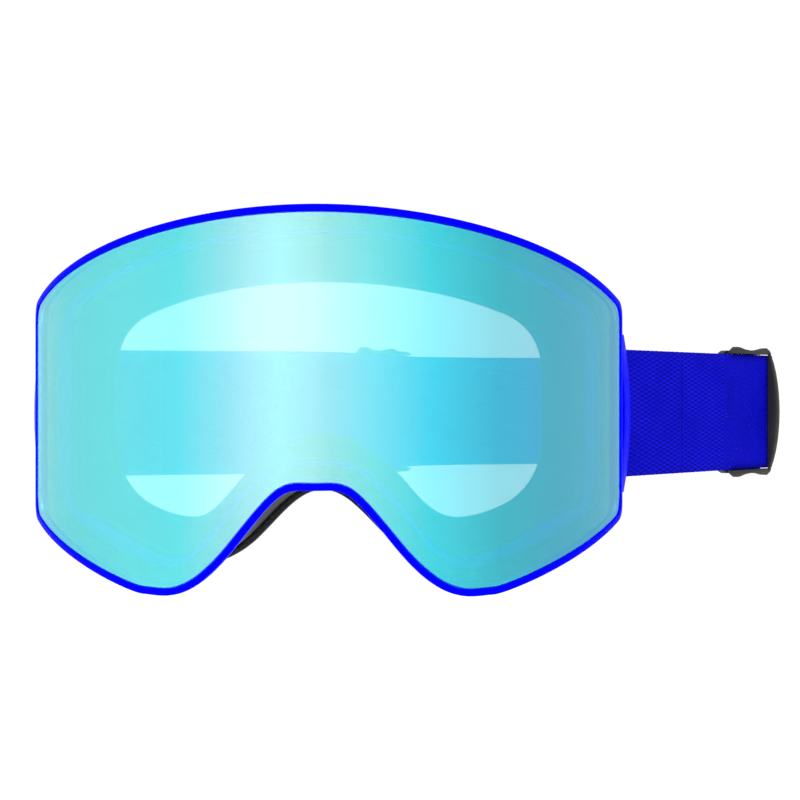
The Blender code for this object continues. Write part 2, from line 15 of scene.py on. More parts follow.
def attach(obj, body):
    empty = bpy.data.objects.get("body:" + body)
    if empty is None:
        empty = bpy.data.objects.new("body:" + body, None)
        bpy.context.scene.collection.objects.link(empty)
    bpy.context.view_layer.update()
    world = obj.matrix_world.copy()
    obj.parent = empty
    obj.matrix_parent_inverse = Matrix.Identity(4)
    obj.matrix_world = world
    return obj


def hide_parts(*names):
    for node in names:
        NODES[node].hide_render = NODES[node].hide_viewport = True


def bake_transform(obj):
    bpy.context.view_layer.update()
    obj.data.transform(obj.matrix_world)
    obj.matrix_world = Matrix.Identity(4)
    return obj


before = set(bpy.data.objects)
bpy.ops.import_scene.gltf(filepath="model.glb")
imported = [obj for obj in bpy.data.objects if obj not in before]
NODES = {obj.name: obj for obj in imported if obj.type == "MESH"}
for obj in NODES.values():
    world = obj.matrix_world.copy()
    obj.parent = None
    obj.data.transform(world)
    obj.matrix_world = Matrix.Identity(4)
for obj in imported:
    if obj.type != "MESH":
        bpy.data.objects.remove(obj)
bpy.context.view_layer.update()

MM = 0.001
ROOT = "face_frame_body"

SHIFT = 38 * MM
LENS_RADIUS = 96 * MM
FACE_RADIUS = 87.4 * MM
STRAP_Z = -4.4 * MM
STRAP_WIDTH = 40 * MM
STRAP_THICKNESS = 1.5 * MM
LAYER_STEP = 6.3 * MM
HALF_STEP = LAYER_STEP / 2
RIM_INSET = 2.05 * MM
LENS_HALF_TURN = 1.22  # radians from the lens's middle to just past its side
BEZIER_POINTS = 64

# How far behind an outrigger's bar each stretch of webbing starts or ends. They overlap a little.
FRONT_OUTER_END = 40 * MM
FRONT_INNER_END = 34 * MM
MAIN_START = 39.7 * MM
INNER_START = 33.7 * MM

# The stretch of the outer layer that is woven more densely, from the start of its right run.
DENSE_START, DENSE_END = 67 * MM, 106 * MM
DENSE_LEAST_X = 100 * MM

# The straight runs of the strap, as in the frame: start, direction back, direction outwards.
RUN_START = Vector((93.6 * MM, 85.7 * MM - SHIFT))
RUN = Vector((57.8, 86.1)).normalized()
RUN_OUT = Vector((RUN.y, -RUN.x))
RIGHT_BAR = RUN_START - 5 * MM * RUN - HALF_STEP * RUN_OUT
LEFT_BAR = Vector((-RIGHT_BAR.x, RIGHT_BAR.y))
LEFT_RUN = Vector((0.938, 0.346)).normalized()
LEFT_OUT = Vector((-LEFT_RUN.y, LEFT_RUN.x))
REAR_START = Vector((-7.5 * MM, 114 * MM - SHIFT))
REAR = Vector((28, 64.3)).normalized()
REAR_OUT = Vector((-REAR.y, REAR.x))
SLIDER_RIGHT = RUN_START + 71.3 * MM * RUN
SLIDER_LEFT = REAR_START + 33 * MM * REAR


def bezier(start, first, second, end):
    """Points of a cubic from start to end, given in millimetres."""
    t = np.linspace(0, 1, BEZIER_POINTS)[:, None]
    p = [np.array(point, float) * MM for point in (start, first, second, end)]
    return (1 - t) ** 3 * p[0] + 3 * (1 - t) ** 2 * t * p[1] + 3 * (1 - t) * t**2 * p[2] + t**3 * p[3]


def resample(line, count, start=0.0, end=0.0):
    """An open line with its ends cut back by start and end, in evenly spaced points."""
    reach = np.concatenate([[0], np.cumsum(np.linalg.norm(np.diff(line, axis=0), axis=1))])
    at = np.linspace(start, reach[-1] - end, count)
    return np.stack([np.interp(at, reach, line[:, axis]) for axis in (0, 1)], axis=1)


def shifted(line, distance):
    """An open line moved to its right-hand side."""
    run = np.gradient(line, axis=0)
    run /= np.linalg.norm(run, axis=1)[:, None]
    return line + distance * np.stack([run[:, 1], -run[:, 0]], axis=1)


def cut_at(line, side):
    """The line up to where it first passes the upright x = side, with its end on that upright."""
    past = int(np.argmax(line[:, 0] > side))
    before, after = line[past - 1], line[past]
    share = (side - before[0]) / (after[0] - before[0])
    return np.vstack([line[:past], before + share * (after - before)])


def corner(start, middle, end, count):
    """Inner points of a rounded corner between start and end, whose edges meet at middle."""
    t = (np.arange(count) + 1)[:, None] / (count + 1)
    return (1 - t) ** 2 * start + 2 * (1 - t) * t * middle + t**2 * end


class Outline:
    """A symmetric outline: a top curve, upright sides, cheek curves and an arch over the nose."""

    def __init__(self, top, side, cheek, flank, arch, rounding):
        self.top = bezier(*top)
        self.cheek = bezier(*cheek)
        self.nose = np.vstack([bezier(*flank), bezier(*arch)[1:]])
        self.side = side
        self.rounding = rounding

    def half(self, inset, detail):
        """The right half, from the middle of the top to the middle of the nose."""
        side = self.side - inset
        top = shifted(self.top, inset)
        top[0, 0] = 0
        top = cut_at(top, side)
        cheek = cut_at(shifted(self.cheek, inset)[::-1], side)[::-1]
        nose = shifted(self.nose, inset)
        nose[-1, 0] = 0
        cheek[-1] = nose[0]
        trim = self.rounding + 0.4 * max(inset, 0)
        upper = resample(top, 15 * detail, end=trim)
        lower = resample(cheek, 10 * detail, start=trim)
        high = top[-1] - (0, trim)
        low = cheek[0] + (0, trim)
        upright = high + np.linspace(0, 1, 4 * detail)[:, None] * (low - high)
        return np.vstack(
            [
                upper,
                corner(upper[-1], top[-1], high, 4 * detail),
                upright,
                corner(low, cheek[0], lower[0], 4 * detail),
                lower,
                resample(nose, 17 * detail)[1:],
            ]
        )

    def loop(self, inset, detail):
        """The whole closed outline, clockwise seen from the front."""
        right = self.half(inset, detail)
        left = right[-2:0:-1] * (-1, 1)
        return np.vstack([right, left])

    def tucked(self, inset, tuck, detail):
        """The loop, drawn in by a further tuck along the cheeks and the nose."""
        loop = self.loop(inset, detail)
        low = np.clip((-loop[:, 1] - 12 * MM) / (20 * MM), 0, 1)
        inner = np.clip((108 * MM - np.abs(loop[:, 0])) / (20 * MM), 0, 1)
        return loop + (low * inner)[:, None] * (self.loop(inset + tuck, detail) - loop)


LENS_OUTLINE = Outline(
    top=((0, 53.7), (51.2, 53.7), (99, 34.4), (120, 27)),
    side=115.0 * MM,
    cheek=((120, -34), (84, -46.3), (56.7, -55), (51.7, -55)),
    flank=((51.7, -55), (44.5, -55), (36.6, -58.1), (22, -40.45)),
    arch=((22, -40.45), (8.1, -23.6), (8.9, -25.3), (0, -25.3)),
    rounding=4 * MM,
)
FACE_OUTLINE = Outline(
    top=((0, 48.5), (34, 48.5), (60, 43), (84, 26)),
    side=75 * MM,
    cheek=((80, -30), (66, -41), (54, -50.6), (44, -50.6)),
    flank=((44, -50.6), (36, -50.6), (25.5, -47.4), (18.5, -40.2)),
    arch=((18.5, -40.2), (12.2, -34.1), (7, -26.6), (0, -26.6)),
    rounding=12 * MM,
)
WINDOW_OUTLINE = Outline(
    top=((0, 34.2), (26, 34.2), (50, 29.5), (70, 18)),
    side=65.2 * MM,
    cheek=((68, -22), (58, -30.5), (48, -35), (39.5, -35)),
    flank=((39.5, -35), (34.5, -35), (30.5, -32), (25, -25.2)),
    arch=((25, -25.2), (19.5, -18.4), (9, -9.8), (0, -9.8)),
    rounding=12 * MM,
)


def on_lens(points, depth):
    """Outline points wrapped on the lens's cylinder, at a depth behind its outer face."""
    angle = points[:, 0] / LENS_RADIUS
    radius = LENS_RADIUS - depth
    back = LENS_RADIUS - SHIFT - radius * np.cos(angle)
    return np.stack([radius * np.sin(angle), back, points[:, 1]], axis=1)


def on_face(points, depth):
    """Outline points on the wearer's face surface, moved so that its middle stands at a depth."""
    across = points[:, 0]
    fall = FACE_RADIUS - np.sqrt(FACE_RADIUS**2 - across**2)
    return np.stack([across, depth - SHIFT + fall, points[:, 1]], axis=1)


# Materials: a small set of helpers, then one function for each finish.


class Nodes:
    """A material's node tree, with one-line ways to add and join nodes."""

    def __init__(self, name):
        self.material = bpy.data.materials.new(name)
        self.material.use_nodes = True
        self.tree = self.material.node_tree
        self.shader = self.tree.nodes["Principled BSDF"]
        self.coordinates = self.add("ShaderNodeTexCoord")

    def add(self, kind, inputs=None, **settings):
        """A new node with its settings, and its inputs set or linked."""
        node = self.tree.nodes.new(kind)
        for key, value in settings.items():
            setattr(node, key, value)
        for key, value in (inputs or {}).items():
            self.put(node.inputs[key], value)
        return node

    def put(self, socket, value):
        """Links an output to the socket, or gives it a plain value."""
        if isinstance(value, bpy.types.NodeSocket):
            self.tree.links.new(value, socket)
        else:
            socket.default_value = value

    def set(self, **values):
        """Sets inputs of the shader, named with underscores for spaces."""
        for key, value in values.items():
            self.put(self.shader.inputs[key.replace("_", " ")], value)

    def where(self):
        """The object's own coordinates."""
        return self.coordinates.outputs["Object"]

    def noise(self, scale, detail, roughness=0.55):
        """Noise from 0 to 1 over the object's own coordinates."""
        inputs = {"Vector": self.where(), "Scale": scale, "Detail": detail, "Roughness": roughness}
        return self.add("ShaderNodeTexNoise", inputs).outputs["Fac"]

    def cells(self, scale):
        """Distance to the nearest of the scattered points of a cell pattern."""
        inputs = {"Vector": self.where(), "Scale": scale}
        return self.add("ShaderNodeTexVoronoi", inputs).outputs["Distance"]

    def math(self, operation, first, second=0.0):
        """One arithmetic step."""
        return self.add("ShaderNodeMath", {0: first, 1: second}, operation=operation).outputs[0]

    def remap(self, value, low, high, out_low, out_high):
        """The value moved from one range to another, and held inside it."""
        inputs = {0: value, 1: low, 2: high, 3: out_low, 4: out_high}
        return self.add("ShaderNodeMapRange", inputs).outputs[0]

    def mix(self, share, first, second):
        """A colour between two colours."""
        node = self.add("ShaderNodeMix", data_type="RGBA")
        self.put(node.inputs[0], share)
        self.put(node.inputs[6], first)
        self.put(node.inputs[7], second)
        return node.outputs[2]

    def bump(self, height, distance, strength):
        """Surface relief from a height."""
        inputs = {"Height": height, "Distance": distance, "Strength": strength}
        node = self.add("ShaderNodeBump", inputs)
        self.put(self.shader.inputs["Normal"], node.outputs[0])

    def ramp(self, value, stops):
        """A colour read from a row of stops, each a place and a colour."""
        node = self.add("ShaderNodeValToRGB", {0: value})
        band = node.color_ramp
        while len(band.elements) < len(stops):
            band.elements.new(0.5)
        for element, (place, colour) in zip(band.elements, stops):
            element.position = place
            element.color = (*colour, 1)
        return node.outputs[0]


def blue_plastic():
    """Moulded gloss plastic in full blue: even colour, faint orange-peel and rubbed patches."""
    n = Nodes("blue_plastic_finish")
    patch = n.noise(60, 2)
    n.set(Base_Color=n.mix(n.remap(patch, 0.35, 0.7, 0, 1), (0, 0, 1, 1), (0.0, 0.0, 0.93, 1)))
    n.set(Roughness=n.remap(patch, 0.3, 0.7, 0.3, 0.42))
    n.shader.inputs["Specular IOR Level"].default_value = 0.012
    n.bump(n.noise(900, 2), 0.02 * MM, 0.25)
    return n.material


def tpu(name, shade, grain=1400):
    """Soft-touch moulded rubber: fine leathery grain, slightly lighter where it is handled."""
    n = Nodes(name)
    patch = n.noise(45, 3)
    light = tuple(min(1, 1.5 * c) for c in shade)
    n.set(Base_Color=n.mix(n.remap(patch, 0.4, 0.75, 0, 1), (*shade, 1), (*light, 1)))
    n.set(Roughness=n.remap(patch, 0.3, 0.7, 0.42, 0.6))
    n.shader.inputs["Specular IOR Level"].default_value = 0.12
    n.bump(n.cells(grain), 0.05 * MM, 0.5)
    return n.material


def foam_finish(name, shade, pore=900):
    """Open-cell foam: pores of two sizes between lighter struts, the pores painted darker as shade in their
    hollows.
    """
    n = Nodes(name)
    cell = n.math("MULTIPLY", n.cells(pore), n.remap(n.cells(2.3 * pore), 0, 0.7, 0.6, 1.1))
    light = tuple(3.2 * c + 0.004 for c in shade)
    # Painted shade: the pores are darker than the struts, as shade falls in their hollows.
    n.set(Base_Color=n.mix(n.remap(cell, 0.15, 0.75, 0, 1), (*shade, 1), (*light, 1)), Roughness=0.95)
    n.shader.inputs["Specular IOR Level"].default_value = 0.05
    n.bump(cell, 0.35 * MM, 0.9)
    return n.material


def fleece():
    """Brushed knit: short soft fibres with a light nap."""
    n = Nodes("fleece_finish")
    fibre = n.noise(2600, 5, 0.75)
    tuft = n.noise(420, 3, 0.6)
    dark, light = (0.006, 0.006, 0.007, 1), (0.03, 0.03, 0.033, 1)
    n.set(Base_Color=n.mix(n.remap(fibre, 0.35, 0.7, 0, 1), dark, light), Roughness=1.0)
    n.shader.inputs["Sheen Weight"].default_value = 0.22
    n.shader.inputs["Sheen Roughness"].default_value = 0.5
    n.bump(n.math("ADD", fibre, tuft), 0.4 * MM, 0.8)
    return n.material


def webbing(name, length, height):
    """Woven elastic webbing: staggered raised floats, of the given size, along the band's own UVs; the
    hollows between them are painted dark as shade.
    """
    n = Nodes(name)
    place = n.add("ShaderNodeSeparateXYZ", {"Vector": n.coordinates.outputs["UV"]})
    along = n.math("COSINE", n.math("MULTIPLY", place.outputs["X"], 2 * math.pi / length))
    across = n.math("COSINE", n.math("MULTIPLY", place.outputs["Y"], math.pi / height))
    lift = n.math("MULTIPLY", along, across)
    fuzz = n.noise(2600, 4, 0.7)
    wear = n.noise(70, 2)
    # Painted shade: the colour goes dark blue in the hollows between floats, where the bump is low.
    float_share = n.remap(n.math("ADD", lift, n.math("MULTIPLY", fuzz, 0.5)), -0.25, 0.95, 0.0, 1.0)
    light = n.mix(n.remap(wear, 0.35, 0.7, 0, 1), (0.004, 0.004, 0.74, 1), (0.001, 0.001, 0.62, 1))
    n.set(Base_Color=n.mix(float_share, (0.0, 0.0, 0.24, 1), light), Roughness=0.9)
    n.shader.inputs["Specular IOR Level"].default_value = 0.04
    strand = n.math("COSINE", n.math("MULTIPLY", place.outputs["Y"], 6 * math.pi / height))
    n.bump(n.math("ADD", lift, n.math("MULTIPLY", strand, 0.12)), 0.16 * MM, 0.8)
    return n.material


def thread():
    """Twisted polyester thread in the webbing's blue, painted darker in the grooves of its twist as shade.
    """
    n = Nodes("thread_finish")
    twist = n.add("ShaderNodeTexWave", {"Vector": n.where(), "Scale": 900, "Distortion": 2})
    dark, light = (0.0, 0.0, 0.3, 1), (0.02, 0.02, 0.72, 1)
    # Painted shade: the twist's grooves, low in the bump, get the dark colour.
    n.set(Base_Color=n.mix(twist.outputs["Fac"], dark, light), Roughness=0.7)
    n.bump(twist.outputs["Fac"], 0.1 * MM, 0.5)
    return n.material


def metal():
    """Nickel-plated steel with fine brushing."""
    n = Nodes("plated_steel")
    scratch = n.noise(700, 6, 0.7)
    n.set(Base_Color=(0.62, 0.62, 0.64, 1), Metallic=1.0)
    n.set(Roughness=n.remap(scratch, 0.3, 0.7, 0.18, 0.34))
    n.bump(scratch, 0.02 * MM, 0.3)
    return n.material


def around_lens(n):
    """0 at the lens's left edge, 1 at its right edge, by angle about the lens's axis."""
    parts = n.add("ShaderNodeSeparateXYZ", {"Vector": n.where()})
    depth = n.math("SUBTRACT", LENS_RADIUS - SHIFT, parts.outputs["Y"])
    angle = n.math("ARCTAN2", parts.outputs["X"], depth)
    return n.remap(angle, -LENS_HALF_TURN, LENS_HALF_TURN, 0.0, 1.0)


# The mirror coat's colour by share of the lens's turn from left to right, matched to the photographed lens:
# pale aqua, a near-white cyan at the middle, then a deeper teal blue. The near-white cyan is mostly a
# painted reflection of a band of light, which the brighter side of the surroundings adds to.
COAT_WITH_PAINTED_REFLECTION = (
    (0.00, (0.183, 0.803, 0.824)),
    (0.14, (0.166, 0.770, 0.818)),
    (0.25, (0.170, 0.817, 0.850)),
    (0.33, (0.139, 0.806, 0.850)),
    (0.42, (0.379, 0.801, 0.850)),
    (0.50, (0.397, 0.850, 0.850)),
    (0.57, (0.208, 0.819, 0.850)),
    (0.64, (0.066, 0.710, 0.807)),
    (0.73, (0.061, 0.527, 0.623)),
    (0.82, (0.090, 0.470, 0.610)),
    (1.00, (0.110, 0.505, 0.651)),
)
COAT_GAIN = 0.85
COAT_ALPHA = 0.5  # of each of the lens's two faces


def mirror_coat():
    """See-through mirror: the coat's tint, with a painted reflection band at its middle, reflects, and
    about a quarter of what is behind shows.
    """
    n = Nodes("mirror_coat")
    haze = n.noise(35, 2)
    # The base colour carries the coat's tint and, at its middle, a painted reflection of a band of light.
    stops = [(place, tuple(min(1.0, c / COAT_GAIN) for c in colour)) for place, colour in COAT_WITH_PAINTED_REFLECTION]
    n.set(Base_Color=n.ramp(around_lens(n), stops), Metallic=1.0, Alpha=COAT_ALPHA)
    n.set(Roughness=n.remap(haze, 0.3, 0.7, 0.10, 0.13))
    n.shader.inputs["Coat Weight"].default_value = 0.15
    n.shader.inputs["Coat Roughness"].default_value = 0.03
    n.material.use_transparent_shadow = True
    return n.material


def clear_plastic():
    """The inner lens: clear plastic with a trace of cyan."""
    n = Nodes("clear_plastic")
    n.set(Base_Color=(0.75, 0.9, 0.93, 1), Alpha=0.06)
    n.set(Roughness=n.remap(n.noise(40, 2), 0.3, 0.7, 0.05, 0.09))
    n.shader.inputs["Specular IOR Level"].default_value = 0.1
    return n.material


def floor_finish():
    """Pale matt paper that glows a little, so that it stays white."""
    n = Nodes("studio_floor")
    dull, bright = (0.93, 0.93, 0.93, 1), (0.96, 0.96, 0.96, 1)
    n.set(Base_Color=n.mix(n.noise(3, 2), dull, bright), Roughness=0.9)
    n.shader.inputs["Specular IOR Level"].default_value = 0.1
    n.shader.inputs["Emission Color"].default_value = (1, 1, 1, 1)
    n.shader.inputs["Emission Strength"].default_value = 0.14
    return n.material


LOOKS = {
    "blue": blue_plastic(),
    "frame": tpu("frame_tpu", (0.022, 0.022, 0.023)),
    "slider": tpu("slider_nylon", (0.022, 0.022, 0.022), grain=2200),
    "foam": foam_finish("foam_finish", (0.004, 0.004, 0.004)),
    "soft_foam": foam_finish("soft_foam_finish", (0.006, 0.006, 0.007), pore=1300),
    "gasket": foam_finish("gasket_foam", (0.02, 0.02, 0.02), pore=1800),
    "fleece": fleece(),
    "webbing": webbing("webbing_weave", 5.0 * MM, 0.72 * MM),
    "webbing_fine": webbing("webbing_dense", 2.2 * MM, 0.50 * MM),
    "thread": thread(),
    "metal": metal(),
    "mirror": mirror_coat(),
    "clear": clear_plastic(),
    "floor": floor_finish(),
}


# Pieces.


def mesh_piece(name, rings, look, closed=False, uvs=None):
    """A closed body bridged through rings of points, smooth shaded, with optional UVs per ring point."""
    mesh = bmesh.new()
    layer = mesh.loops.layers.uv.new("UVMap") if uvs is not None else None
    rows = [[mesh.verts.new(point) for point in ring] for ring in rings]
    sides = len(rows[0])
    for r in range(len(rows) if closed else len(rows) - 1):
        s = (r + 1) % len(rows)
        for i in range(sides):
            j = (i + 1) % sides
            face = mesh.faces.new((rows[r][i], rows[r][j], rows[s][j], rows[s][i]))
            if layer is not None:
                for corner_of, place in zip(face.loops, ((r, i), (r, j), (s, j), (s, i))):
                    corner_of[layer].uv = uvs[place[0]][place[1]]
    caps = [] if closed else [mesh.faces.new(rows[0]), mesh.faces.new(rows[-1])]
    bmesh.ops.recalc_face_normals(mesh, faces=mesh.faces)
    for face in mesh.faces:
        face.smooth = face not in caps
    data = bpy.data.meshes.new(name)
    mesh.to_mesh(data)
    mesh.free()
    data.materials.append(look)
    piece = bpy.data.objects.new(name, data)
    bpy.context.collection.objects.link(piece)
    return piece


def dress_node(name, look, bevel=0.0):
    """A carried-over CAD node: its finish, softened edges and smooth shading over its facets."""
    node = NODES[name]
    node.data.materials.clear()
    node.data.materials.append(look)
    for face in node.data.polygons:
        face.use_smooth = True
    weld = node.modifiers.new("Weld", "WELD")
    weld.merge_threshold = 0.01 * MM
    if bevel:
        edge = node.modifiers.new("Edges", "BEVEL")
        edge.width = bevel
        edge.segments = 2
        edge.limit_method = "ANGLE"
        edge.angle_limit = math.radians(40)
        edge.use_clamp_overlap = True
        edge.harden_normals = True
    else:
        split = node.modifiers.new("Split", "EDGE_SPLIT")
        split.split_angle = math.radians(38)


LENS_COLUMNS = 321
LENS_THICKNESS = 1.6 * MM
LENS_EDGE = 0.3 * MM


def outer_lens():
    """The mirror-coated lens: a fine cylindrical sheet with polished, bevelled edges."""
    half = LENS_OUTLINE.half(RIM_INSET, 6)
    widest = int(np.argmax(half[:, 0]))
    upper, lower = half[: widest + 1], half[widest:][::-1]
    reach = half[widest, 0] - 0.02 * MM
    columns = []
    depths = (0.0, LENS_EDGE, LENS_THICKNESS - LENS_EDGE, LENS_THICKNESS)
    for x in reach * np.sin(np.linspace(-1, 1, LENS_COLUMNS) * math.pi / 2):
        top = np.interp(abs(x), upper[:, 0], upper[:, 1])
        low = np.interp(abs(x), lower[:, 0], lower[:, 1])
        section = list(zip((top - LENS_EDGE, top, top, top - LENS_EDGE), depths))
        section += zip((low + LENS_EDGE, low, low, low + LENS_EDGE), depths[::-1])
        columns.append([on_lens(np.array([(x, z)]), depth)[0] for z, depth in section])
    lens = mesh_piece("mirror_lens", columns, LOOKS["mirror"])
    split = lens.modifiers.new("Split", "EDGE_SPLIT")
    split.split_angle = math.radians(30)
    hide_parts("outer_lens")
    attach(lens, "lens_module")


def lens_rim():
    """The rim with a fine outline: a rounded lip round the lens, tapering back to the magnets' shelf.

    The section's points are inset, tuck and depth in millimetres.
    """
    section = ((0.5, 0, -0.4), (0.2, 0, -0.32), (0.04, 0, -0.1), (0, 0, 0.2), (0, 0, 1.2), (0, 2.8, 9.2))
    section += ((0.3, 2.8, 9.4), (6.8, 3.2, 9.4), (7, 3.2, 9.2), (7, 3.2, 6.6), (6.8, 3.2, 6.4))
    section += ((2, 1.7, 6.4), (2, 0, 1.7), (2, 0, 0.1), (1.96, 0, -0.15), (1.8, 0, -0.33), (1.5, 0, -0.4))
    loops = [on_lens(LENS_OUTLINE.tucked(i * MM, t * MM, 5), d * MM) for i, t, d in section]
    rim = mesh_piece("moulded_rim", list(np.stack(loops, axis=1)), LOOKS["blue"], closed=True)
    split = rim.modifiers.new("Split", "EDGE_SPLIT")
    split.split_angle = math.radians(50)
    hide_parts("lens_rim")
    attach(rim, "lens_module")


FOAM_BAND = 14 * MM


def foam_pad(name, node, front, back, inset, crown, look):
    """A foam layer: a band round the face opening whose free edges are rounded and slightly bulged."""
    outer = FACE_OUTLINE.loop(inset, 5)
    inner = WINDOW_OUTLINE.loop(0, 5)
    section = []
    half = (back - front) / 2
    middle = (front + back) / 2
    turns = np.linspace(-math.pi / 2, math.pi / 2, 7)
    for edge, outwards, angles in ((outer, 1, turns), (inner, -1, -turns)):
        for angle in angles:
            lift = crown * math.cos(angle) - crown
            loop = edge + outwards * (outer - inner) * (lift / FOAM_BAND)
            section.append(on_face(loop, middle + half * math.sin(angle)))
    pad = mesh_piece(name, list(np.stack(section, axis=1)), look, closed=True)
    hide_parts(node)
    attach(pad, ROOT)


def route_runs(path):
    """Unit directions along a plan path, the same directions turned to the right, and its length so far."""
    run = np.gradient(path, axis=0)
    run /= np.linalg.norm(run, axis=1)[:, None]
    steps = np.linalg.norm(np.diff(path, axis=0), axis=1)
    return run, np.stack([run[:, 1], -run[:, 0]], axis=1), np.concatenate([[0], np.cumsum(steps)])


def fine(path):
    """A plan path with a point about every millimetre."""
    path = np.array(path, float)
    reach = np.concatenate([[0], np.cumsum(np.linalg.norm(np.diff(path, axis=0), axis=1))])
    return resample(path, max(3, int(reach[-1] / MM)))


RIB, RIB_LENGTH = 0.06 * MM, 1.6 * MM
SELVEDGE = 0.07  # share of the half width over which the webbing thins
SIDE_GAP = 50 * MM  # keeps the two faces' UVs apart


def webbing_band(name, path, look, start_length=0.0):
    """Elastic webbing on edge along a plan path: rounded selvedges, a ribbed edge and length-true UVs."""
    path = fine(path)
    _, side, reach = route_runs(path)
    half_width, half_thick = STRAP_WIDTH / 2, STRAP_THICKNESS / 2
    heights = np.linspace(-1, 1, 15)
    rings, uvs = [], []
    for point, out, length in zip(path, side, reach):
        ripple = RIB * math.sin(2 * math.pi * length / RIB_LENGTH)
        ring, flat = [], []
        for sign in (1, -1):
            for share in heights * sign:
                edge = max(0.0, abs(share) - (1 - SELVEDGE)) / SELVEDGE
                thick = half_thick * (1 - 0.55 * edge**2)
                height = share * half_width + (ripple * math.copysign(1, share) if edge else 0.0)
                spot = point + out * sign * thick
                ring.append((spot[0], spot[1], STRAP_Z + height))
                flat.append((start_length + length, height + sign * SIDE_GAP))
        rings.append(ring)
        uvs.append(flat)
    return mesh_piece(name, rings, look, uvs=uvs)


def at_run(start, along, out, points):
    """Plan points given by their places along a run and outwards from it."""
    return [tuple(start + x * along + y * out) for x, y in points]


TURN_POINTS = 17


def front_webbing(hand, bar, along, out):
    """The strap's end that loops round the outrigger's bar."""
    angles = np.linspace(math.pi / 2, 3 * math.pi / 2, TURN_POINTS)
    turn = [(HALF_STEP * math.cos(a), HALF_STEP * math.sin(a)) for a in angles]
    local = [(FRONT_OUTER_END, HALF_STEP)] + turn + [(FRONT_INNER_END, -HALF_STEP)]
    piece = webbing_band(f"webbing_front_{hand}", at_run(bar, along, out, local), LOOKS["webbing"])
    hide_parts(f"strap_loop_{hand}", f"strap_return_{hand}")
    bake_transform(piece)


def main_route():
    """Plan points of the strap's outer layer between the two front pieces."""
    start = RIGHT_BAR + MAIN_START * RUN + HALF_STEP * RUN_OUT
    left = LEFT_BAR + MAIN_START * LEFT_RUN + HALF_STEP * LEFT_OUT
    back = bezier((151.4, 171.8), (162.5, 188.4), (118, 221), (71, 208))
    fold = bezier((71, 208), (45, 200.8), (27, 193.2), (20.5, 178.3))
    bend = bezier((-7.5, 114), (-11.5, 104.8), (-31, 108), (-50.5, 101))
    drop = np.array((0, SHIFT))
    return [np.array([start]), back - drop, fold - drop, bend - drop, np.array([left])]


def main_webbing():
    """The long outer layer of the strap. It is woven more densely where it runs over a slider."""
    route = np.vstack(main_route())
    piece = webbing_band("webbing_main", route, LOOKS["webbing"], start_length=MAIN_START)
    piece.data.materials.append(LOOKS["webbing_fine"])
    for face in piece.data.polygons:
        place = Vector(face.center[:2])
        reach = (place - RUN_START).dot(RUN)
        if DENSE_START < reach < DENSE_END and place.x > DENSE_LEAST_X:
            face.material_index = 1
    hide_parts("strap")
    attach(piece, ROOT)


# A sewn end in its slider's own plan: the fold's centre and radius, and where the webbing starts and ends.
FOLD_ALONG, FOLD_OUT, FOLD_RADIUS = 25 * MM, -4.1 * MM, 2.2 * MM
SEWN_START, SEWN_END = 6 * MM, 17 * MM


def sewn_end(hand, origin, along, out, route):
    """The inner layer up to the slider, folded round the middle bar and sewn."""
    angles = np.linspace(-math.pi / 2, math.pi / 2, TURN_POINTS)
    fold = [(FOLD_ALONG + FOLD_RADIUS * math.cos(a), FOLD_OUT + FOLD_RADIUS * math.sin(a)) for a in angles]
    ends = (SEWN_START, FOLD_OUT - FOLD_RADIUS), (SEWN_END, FOLD_OUT + FOLD_RADIUS)
    path = route + at_run(origin, along, out, [ends[0]] + fold + [ends[1]])
    piece = webbing_band(f"webbing_sewn_{hand}", path, LOOKS["webbing_fine"])
    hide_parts(f"strap_sewn_end_{hand}")
    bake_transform(piece)


STITCHES = 19
STITCH_ROWS = (14.5 * MM, 16.2 * MM)
STITCH_OUT = -7.08 * MM
STITCH_MARGIN = 2.5 * MM


def stitch_row(name, origin, along, out, place):
    """A row of short stitches across the webbing, half sunk in its surface."""
    mesh = bmesh.new()
    span = STRAP_WIDTH - 2 * STITCH_MARGIN
    spot = origin + place * along + STITCH_OUT * out
    turn = Matrix.Rotation(math.atan2(along.y, along.x), 4, "Z")
    shape = Matrix.Diagonal((0.35 * MM, 0.22 * MM, 0.33 * span / STITCHES, 1))
    for i in range(STITCHES):
        height = STRAP_Z - span / 2 + span * (i + 0.5) / STITCHES
        where = Matrix.Translation((*spot, height)) @ turn @ shape
        bmesh.ops.create_uvsphere(mesh, u_segments=10, v_segments=8, radius=1, matrix=where)
    for face in mesh.faces:
        face.smooth = True
    data = bpy.data.meshes.new(name)
    mesh.to_mesh(data)
    mesh.free()
    data.materials.append(LOOKS["thread"])
    piece = bpy.data.objects.new(name, data)
    bpy.context.collection.objects.link(piece)
    return piece


def hardware():
    """The carried-over CAD nodes, each in its own finish."""
    for name in NODES:
        if "magnet" in name or name.startswith("hinge_pin"):
            dress_node(name, LOOKS["metal"], 0.15 * MM)
        elif name.startswith("outrigger"):
            dress_node(name, LOOKS["blue"], 0.3 * MM)
        elif name.startswith("strap_slider"):
            dress_node(name, LOOKS["slider"], 0.3 * MM)
        elif name.startswith("vent_foam"):
            dress_node(name, LOOKS["soft_foam"])
    dress_node("face_frame", LOOKS["frame"])
    dress_node("lens_gasket", LOOKS["gasket"])
    dress_node("inner_lens", LOOKS["clear"])


